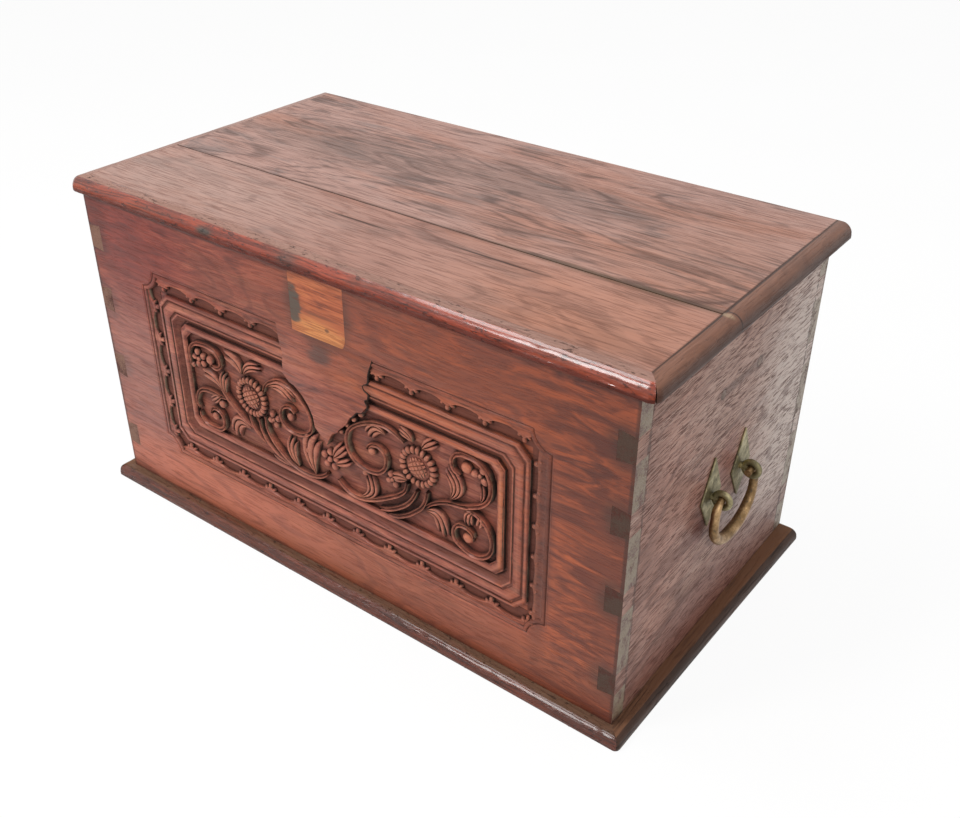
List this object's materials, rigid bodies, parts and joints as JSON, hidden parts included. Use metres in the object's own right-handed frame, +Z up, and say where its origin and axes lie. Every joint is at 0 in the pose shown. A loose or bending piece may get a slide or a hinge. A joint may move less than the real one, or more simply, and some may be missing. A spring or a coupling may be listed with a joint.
{
  "type": "blanket chest",
  "caption": "Dovetailed wooden blanket chest with a carved floral front panel, a hinged flat lid with moulded edges, a moulded plinth and a swinging brass bail handle on each end.",
  "frame": {"origin": "on the floor, under the middle of the box that holds the whole chest", "axes": "+X to the right as seen from the front, the front faces -Y, +Z up"},
  "size_m": [0.8134, 0.439, 0.4283],
  "materials": {
    "case_wood": "worn oiled hardwood, red-brown",
    "end_wood": "weathered oiled hardwood, grey-brown",
    "lid_wood": "worn waxed hardwood, grey-brown",
    "lid_moulding_wood": "polished hardwood, red-brown",
    "plinth_wood": "dull oiled hardwood, dark brown",
    "patch_wood": "varnished softer wood, orange-brown",
    "plug_wood": "dark end grain",
    "inner_wood": "bare sawn hardwood",
    "handle_brass": "patinated cast brass",
    "hinge_brass": "dull brass",
    "iron": "dark wrought iron"
  },
  "bodies": {
    "chest": {"back_board": "case_wood", "bottom_nails": "iron", "bottom_plank_1": "inner_wood", "bottom_plank_2": "inner_wood", "bottom_plank_3": "inner_wood", "front_board": "case_wood", "handle_roves": "iron", "hinge_case_screws": "iron", "left_end_board": "end_wood", "left_front_handle_eye": "handle_brass", "left_front_handle_plate": "handle_brass", "left_hinge_case_leaf": "hinge_brass", "left_hinge_pin": "hinge_brass", "left_rear_handle_eye": "handle_brass", "left_rear_handle_plate": "handle_brass", "lock_patch": "patch_wood", "old_hole_plugs": "plug_wood", "plinth_front_moulding": "plinth_wood", "plinth_left_moulding": "plinth_wood", "plinth_nails": "iron", "plinth_right_moulding": "plinth_wood", "right_end_board": "end_wood", "right_front_handle_eye": "handle_brass", "right_front_handle_plate": "handle_brass", "right_hinge_case_leaf": "hinge_brass", "right_hinge_pin": "hinge_brass", "right_rear_handle_eye": "handle_brass", "right_rear_handle_plate": "handle_brass"},
    "lid": {"hinge_lid_screws": "iron", "left_hinge_lid_leaf": "hinge_brass", "lid_batten_nails": "iron", "lid_front_board": "lid_wood", "lid_front_moulding": "lid_moulding_wood", "lid_left_batten": "inner_wood", "lid_left_moulding": "lid_moulding_wood", "lid_moulding_nails": "iron", "lid_rear_board": "lid_wood", "lid_right_batten": "inner_wood", "lid_right_moulding": "lid_moulding_wood", "right_hinge_lid_leaf": "hinge_brass"},
    "right_bail": {"right_bail": "handle_brass"},
    "left_bail": {"left_bail": "handle_brass"}
  },
  "joints": [
    {"name": "lid_hinge", "type": "hinge", "parent": "chest", "child": "lid", "pos_m": [0, 0.2135, 0.41015], "axis": [-1, 0, 0], "range_deg": [0, 105]},
    {"name": "right_bail_swing", "type": "hinge", "parent": "chest", "child": "right_bail", "pos_m": [0.3947, 0.0045, 0.205], "axis": [0, -1, 0], "range_deg": [-6, 180]},
    {"name": "left_bail_swing", "type": "hinge", "parent": "chest", "child": "left_bail", "pos_m": [-0.3947, 0.0045, 0.205], "axis": [0, 1, 0], "range_deg": [-6, 180]}
  ]
}
